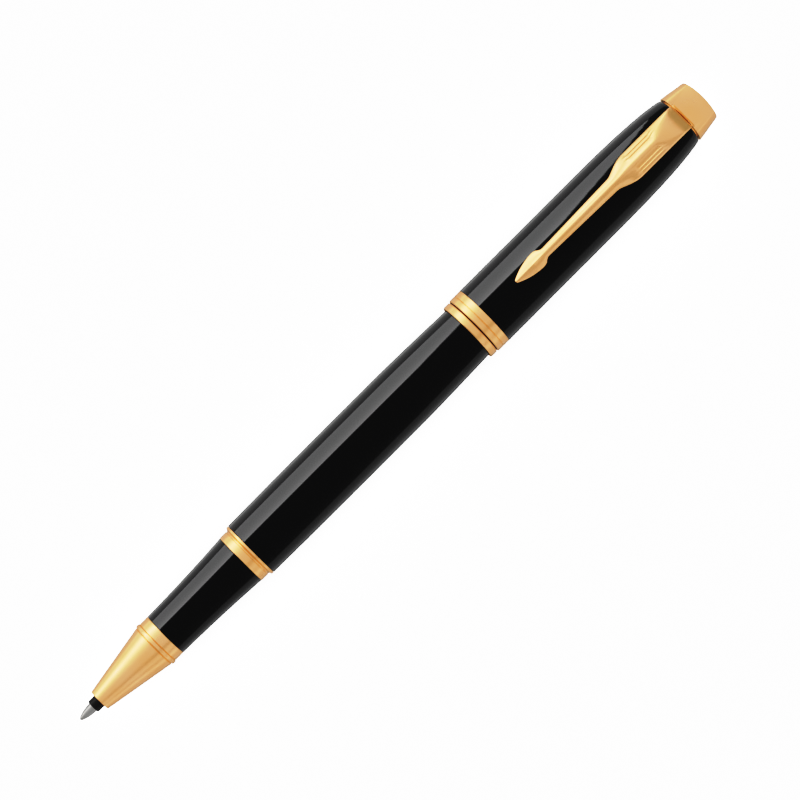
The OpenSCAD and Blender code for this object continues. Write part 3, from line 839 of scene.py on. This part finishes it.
def clip_loops(sizes):
    """Cross-sections along the clip, closest together at its tip."""
    tip, back, head_x = clip_places(sizes)
    plan, (ridge, under) = clip_plan(sizes), clip_side(sizes)
    total = sum((Vector(b) - Vector(a)).length for a, b in zip(ridge, ridge[1:]))
    near_tip = [d * MM for d in (0.03, 0.08, 0.15, 0.25, 0.4, 0.6, 0.85)]
    count = 100
    loops = []
    for distance in near_tip + [mix(1.15 * MM, total, i / count) for i in range(count + 1)]:
        spot, normal = step_along(ridge, distance)
        x = min(spot.x, back - 0.02 * MM)
        on_shank = ease((x - tip - 4 * MM) / (4 * MM))
        on_head = ease((x - head_x + 4.1 * MM) / (4 * MM))
        on_facet = min(max((x - (back - 7.3 * MM)) / (5.5 * MM), 0), 1)
        on_root = ease((distance - total + 3.4 * MM) / (2.6 * MM))
        half = along(plan, x)
        bevel = mix(mix(0.08 * MM, 0.12 * MM, on_shank), sizes.clip_bevel, on_head)
        bevel = mix(min(bevel, half * 0.3), 0.1 * MM, on_root)
        rib = mix(mix(mix(0.08 * MM, 0.2 * MM, on_shank), sizes.clip_rib, on_head), half - bevel, on_facet)
        rib_height = mix(mix(mix(0.04 * MM, 0.05 * MM, on_shank), 0.2 * MM, on_head), 0.02 * MM, on_facet)
        slopes = (mix(mix(0.4, 0.36, on_shank), 0.34, on_head), mix(mix(0.46, 0.66, on_shank), 0.34, on_head))
        flute_end = 1 - ease((x - (back - 7.4 * MM)) / (2 * MM))
        flute = 0.09 * MM * ease((x - head_x + 0.8 * MM) / (1.5 * MM)) * flute_end
        thickness = spot.y - along(under, x) if x < head_x else mix(sizes.clip_thickness, 0.38 * MM, on_root)
        loops.append(clip_loop(spot, normal, half, rib, rib_height, slopes, bevel, thickness, flute))
    return loops


def build_clip(sizes):
    """The spring clip: a drop-shaped pad, a ridged shank and a fluted head that turns down at the finial."""
    loops = clip_loops(sizes)
    clip = join_to(loops[0], loops[1:])
    clip.name = "spring_clip"
    bpy.ops.object.mode_set(mode="EDIT")
    bpy.ops.mesh.select_mode(type="EDGE")
    bpy.ops.mesh.select_all(action="SELECT")
    bpy.ops.mesh.bridge_edge_loops(type="SINGLE", use_merge=False, number_cuts=0)
    bpy.ops.mesh.select_all(action="DESELECT")
    bpy.ops.mesh.select_non_manifold()
    bpy.ops.mesh.edge_face_add()
    close_up()
    smooth(clip, 20)
    place(clip, "clip_arm", "gold_trim", "clip")


def build_finial(sizes):
    """The gold finial: a tapered body with a thin rim, a flat front facet and a slightly domed top."""
    front, rear = ends("finial")
    front += 0.15 * MM
    base = radius("finial")
    top = base - 0.75 * MM
    rim_x, top_x = front + sizes.finial_rim, rear - sizes.dome_rise
    recess, recess_x = base - 0.73 * MM, front + 0.45 * MM
    thread, thread_x = 1.5 * MM, rear - 2.2 * MM
    dome = bend((top_x + 0.12 * MM, top - 0.16 * MM), (rear - 0.25 * MM, top * 0.7), (rear, 0), 14)
    outline = [
        (front, recess), (front, base - 0.1 * MM, 0.04 * MM), (front + 0.1 * MM, base, 0.05 * MM),
        (top_x, top, 0.08 * MM), *dome,
        (thread_x, 0), (thread_x, thread), (recess_x, thread), (recess_x, recess),
    ]
    finial = turned_piece("finial_cap", outline, hollow=True, steps=160)
    foot, reach, wide = AXIS_Z + 3.42 * MM, 9 * MM, 1.5 * base
    facet = block("facet_cutter", (rim_x, -wide, foot), (rim_x + reach, wide, foot + 5 * MM))
    only(facet)
    bpy.ops.object.mode_set(mode="EDIT")
    select_points(facet, lambda co: co.x > rim_x + reach / 2 and co.z < foot + MM)
    bpy.ops.transform.translate(value=(0, 0, -reach * 0.158))
    bpy.ops.object.mode_set(mode="OBJECT")
    cut_away(finial, facet)
    apply_modifier(
        finial, "BEVEL", width=0.08 * MM, segments=2, limit_method="ANGLE", angle_limit=math.radians(34))
    smooth(finial, 30)
    place(finial, "cap", "gold_trim", "finial")


def build_stage():
    """Pale paper and backdrop, the softboxes, the camera and its response."""
    floor = paper_floor()
    backdrop = pale_backdrop()
    stage = (floor, backdrop)
    lacquer = lit_set("lit_lacquer", lambda piece: piece.get("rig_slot") == "black_lacquer")
    trim = lit_set("lit_trim", lambda piece: piece.get("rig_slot") != "black_lacquer" and piece not in stage)
    lacquer_softbox(lacquer)
    trim_lights(trim)
    paper_light(lit_set("lit_paper", lambda piece: piece == floor))
    studio_air()
    aim_camera()
    camera_response()


def paper_floor():
    """Pale paper under the pen. It isn't mirrored in the pen, whose low reflections come from the fills."""
    start_clean()
    bpy.ops.mesh.primitive_plane_add(size=6, location=(0, 0, 0))
    floor = bpy.context.object
    floor.name = "paper_floor"
    floor.data.materials.append(finish_of("studio_paper"))
    floor.visible_glossy = False
    floor.visible_shadow = False
    return floor


def pale_backdrop():
    """A pale dome far round the pen, which only the camera sees."""
    start_clean()
    bpy.ops.mesh.primitive_uv_sphere_add(radius=2.8, location=(0, 0, 0))
    dome = bpy.context.object
    dome.name = "pale_backdrop"
    dome.data.materials.append(finish_of("studio_backdrop"))
    for ray in ("diffuse", "glossy", "transmission", "volume_scatter", "shadow"):
        setattr(dome, "visible_" + ray, False)
    return dome


def lit_set(name, wanted):
    """The pieces that one group of lights falls on."""
    group = bpy.data.collections.new(name)
    for piece in bpy.data.objects:
        if piece.type == "MESH" and wanted(piece):
            group.objects.link(piece)
    return group


def new_light(name, kind, group):
    """A light that falls only on one group of pieces and doesn't show in the picture."""
    light = bpy.data.objects.new(name, bpy.data.lights.new(name, kind))
    bpy.context.scene.collection.objects.link(light)
    light.light_linking.receiver_collection = group
    light.visible_camera = False
    return light


def softbox(name, size, centre, target, brightness, group):
    """A rectangular softbox that faces a point, as bright as told all over its face."""
    light = new_light(name, "AREA", group)
    light.data.shape = "RECTANGLE"
    light.data.size, light.data.size_y = size
    light.data.energy = brightness * math.pi * size[0] * size[1]
    light.location = centre
    away = Vector(centre) - Vector(target)
    light.rotation_euler = away.to_track_quat("Z", "Y").to_euler()


def lacquer_softbox(group):
    """The tall softbox beside the pen, in level bands: it makes a sharp grey strip along the lacquer. It is
    brightest at its top, and its far end slants. Two low fills make the dark grey at the lacquer's edges."""
    bands, low, high, start, side = 12, -0.02, 0.95, -1.4, 0.6
    tall = (high - low) / bands
    for i in range(bands):
        share = (i + 0.5) / bands
        end = mix(0.25, 0.115, share)
        x, z = (start + end) / 2, mix(low, high, share)
        softbox("side_band_%02d" % i, (end - start, tall), (x, side, z), (x, 0, z), mix(3, 5.2, share), group)
    under_fill("lacquer_under_right", 1, 0.8, group)
    under_fill("lacquer_under_left", -1, 0.5, group)


def trim_lights(group):
    """The softboxes for the metal: level bands beside it, which make a soft highlight, and fills with narrow
    gaps between them, which draw thin dark lines along it. Each band has its bottom, top and brightness."""
    wide, side, back, top = 3, 0.6, -0.9, 1
    bands = (
        (-0.22, 0.1, 0.42), (0.1, 0.22, 1), (0.22, 0.35, 1.7), (0.35, 0.5, 1.8), (0.5, 0.71, 1.25),
        (0.71, 0.95, 0.85),
    )
    for i, (low, high, brightness) in enumerate(bands):
        z = (low + high) / 2
        softbox("trim_key_%d" % i, (wide, high - low), (0, side, z), (0, 0, z), brightness, group)
    softbox("trim_top_right", (wide, 0.4), (0, 0.41, top), (0, 0.41, 0), 0.5, group)
    softbox("trim_top", (wide, 0.88), (0, -0.23, top), (0, -0.23, 0), 0.34, group)
    softbox("trim_back", (wide, 0.6), (0, back, 0.59), (0, 0, 0.59), 0.42, group)
    softbox("trim_back_low", (wide, 0.3), (0, back, 0), (0, 0, 0), 0.5, group)
    under_fill("trim_under_right", 1, 0.28, group)
    under_fill("trim_under_left", -1, 0.22, group)


def under_fill(name, side, brightness, group):
    """A fill from below one side, clear of the place right under the pen, which stays darker."""
    centre = (0, side * 0.8, -0.12)
    softbox(name, (3, 1.44), centre, (0, centre[1], 0), brightness, group)


def paper_light(group):
    """Light from all over the sky for the paper alone, so that it comes out white, with hardly a shadow."""
    light = new_light("paper_light", "SUN", group)
    light.data.energy = 12
    light.data.angle = math.pi


def studio_air():
    """The even grey of the studio round the pen."""
    world = bpy.data.worlds.new("studio_air")
    bpy.context.scene.world = world
    world.use_nodes = True
    world.node_tree.nodes["Background"].inputs["Color"].default_value = (1, 1, 1, 1)
    world.node_tree.nodes["Background"].inputs["Strength"].default_value = 0.4


def aim_camera():
    """Looks down on the clip, a little from the writing point's side, with the pen corner to corner."""
    data = bpy.data.cameras.new("camera")
    camera = bpy.data.objects.new("camera", data)
    bpy.context.scene.collection.objects.link(camera)
    bpy.context.scene.camera = camera
    data.sensor_width = 36
    data.lens = 155.4
    data.clip_start = 0.01
    target = Vector((1.7 * MM, 0, AXIS_Z))
    eye = target + Vector((-28 * MM, -25.6 * MM, 610 * MM))
    forward = (target - eye).normalized()
    pen = Vector((1, 0, 0))
    pen = (pen - forward * pen.dot(forward)).normalized()
    across = (-forward).cross(pen).normalized()
    right, up = (pen - across).normalized(), (pen + across).normalized()
    camera.matrix_world = Matrix.Translation(eye) @ Matrix((right, up, -forward)).transposed().to_4x4()


def camera_response():
    """How light becomes tone: deep shadows, and highlights that roll off softly up to the brightest light."""
    brightest = 3
    view = bpy.context.scene.view_settings
    view.view_transform = "Standard"
    view.use_curve_mapping = True
    mapping = view.curve_mapping
    mapping.white_level = (brightest, brightest, brightest)
    tones = (
        (0.05, 0.012), (0.1, 0.035), (0.15, 0.07), (0.22, 0.16), (0.33, 0.28), (0.475, 0.45), (0.72, 0.71),
        (1.25, 0.88), (1.9, 0.97), (2.5, 1),
    )
    for light, tone_of in tones:
        mapping.curves[3].points.new(light / brightest, tone_of)
    mapping.update()


def finish_inside():
    """Gives the pieces inside the pen that keep their CAD shape their own finishes."""
    slots = {s["node"]: s["material_slot"] for s in frame["record"]["subparts"]}
    for name, piece in frame["nodes"].items():
        if piece.hide_render:
            continue
        piece.data.materials.clear()
        piece.data.materials.append(finish_of(slots[name]))


# ---------------------------------------------------------------- operators, one for each piece or group

class PEN_OT_barrel(bpy.types.Operator):
    """Build the lacquered barrel and its brass insert"""

    bl_idname = "pen.barrel"
    bl_label = "Barrel"

    def execute(self, context):
        sizes = context.scene.pen_sizes
        build_barrel(sizes)
        build_insert(sizes)
        return {"FINISHED"}


class PEN_OT_section(bpy.types.Operator):
    """Build the nose cone, the grip, the core and the section ring"""

    bl_idname = "pen.section"
    bl_label = "Section"

    def execute(self, context):
        sizes = context.scene.pen_sizes
        build_nose(sizes)
        build_grip()
        build_section_core(sizes)
        build_section_ring()
        return {"FINISHED"}


class PEN_OT_refill(bpy.types.Operator):
    """Build the writing point, its collar, the ink tube and the spring"""

    bl_idname = "pen.refill"
    bl_label = "Refill"

    def execute(self, context):
        build_point()
        build_collar()
        build_ink_tube()
        build_spring()
        return {"FINISHED"}


class PEN_OT_cap(bpy.types.Operator):
    """Build the cap tube and its gold rings"""

    bl_idname = "pen.cap"
    bl_label = "Cap"

    def execute(self, context):
        sizes = context.scene.pen_sizes
        build_cap_tube(sizes)
        build_cap_rings(sizes)
        return {"FINISHED"}


class PEN_OT_finial(bpy.types.Operator):
    """Build the gold finial with its flat front"""

    bl_idname = "pen.finial"
    bl_label = "Finial"

    def execute(self, context):
        sizes = context.scene.pen_sizes
        build_finial(sizes)
        return {"FINISHED"}


class PEN_OT_clip(bpy.types.Operator):
    """Build the spring clip"""

    bl_idname = "pen.clip"
    bl_label = "Clip"

    def execute(self, context):
        sizes = context.scene.pen_sizes
        build_clip(sizes)
        return {"FINISHED"}


class PEN_OT_inside(bpy.types.Operator):
    """Finish the pieces that keep their CAD shape"""

    bl_idname = "pen.inside"
    bl_label = "Inside pieces"

    def execute(self, context):
        finish_inside()
        return {"FINISHED"}


class PEN_OT_studio(bpy.types.Operator):
    """Set the paper, the softboxes and the camera"""

    bl_idname = "pen.studio"
    bl_label = "Studio"

    def execute(self, context):
        build_stage()
        return {"FINISHED"}


OPERATORS = [
    PEN_OT_barrel, PEN_OT_section, PEN_OT_refill, PEN_OT_cap, PEN_OT_finial, PEN_OT_clip, PEN_OT_inside,
    PEN_OT_studio,
]


class PEN_PT_panel(bpy.types.Panel):
    """Buttons that build the pen piece by piece"""

    bl_label = "Rollerball pen"
    bl_idname = "PEN_PT_panel"
    bl_space_type = "VIEW_3D"
    bl_region_type = "UI"
    bl_category = "Pen"

    def draw(self, context):
        for operator in OPERATORS:
            self.layout.operator(operator.bl_idname)


CLASSES = [PenSizes, PenColours, *OPERATORS, PEN_PT_panel]


def register():
    for kind in CLASSES:
        bpy.utils.register_class(kind)
    bpy.types.Scene.pen_sizes = bpy.props.PointerProperty(type=PenSizes)
    bpy.types.Scene.pen_colours = bpy.props.PointerProperty(type=PenColours)


def unregister():
    del bpy.types.Scene.pen_sizes
    del bpy.types.Scene.pen_colours
    for kind in reversed(CLASSES):
        bpy.utils.unregister_class(kind)


def main():
    register()
    bpy.ops.pen.barrel()
    bpy.ops.pen.section()
    bpy.ops.pen.refill()
    bpy.ops.pen.cap()
    bpy.ops.pen.finial()
    bpy.ops.pen.clip()
    bpy.ops.pen.inside()
    bpy.ops.pen.studio()


if __name__ == "__main__":
    main()
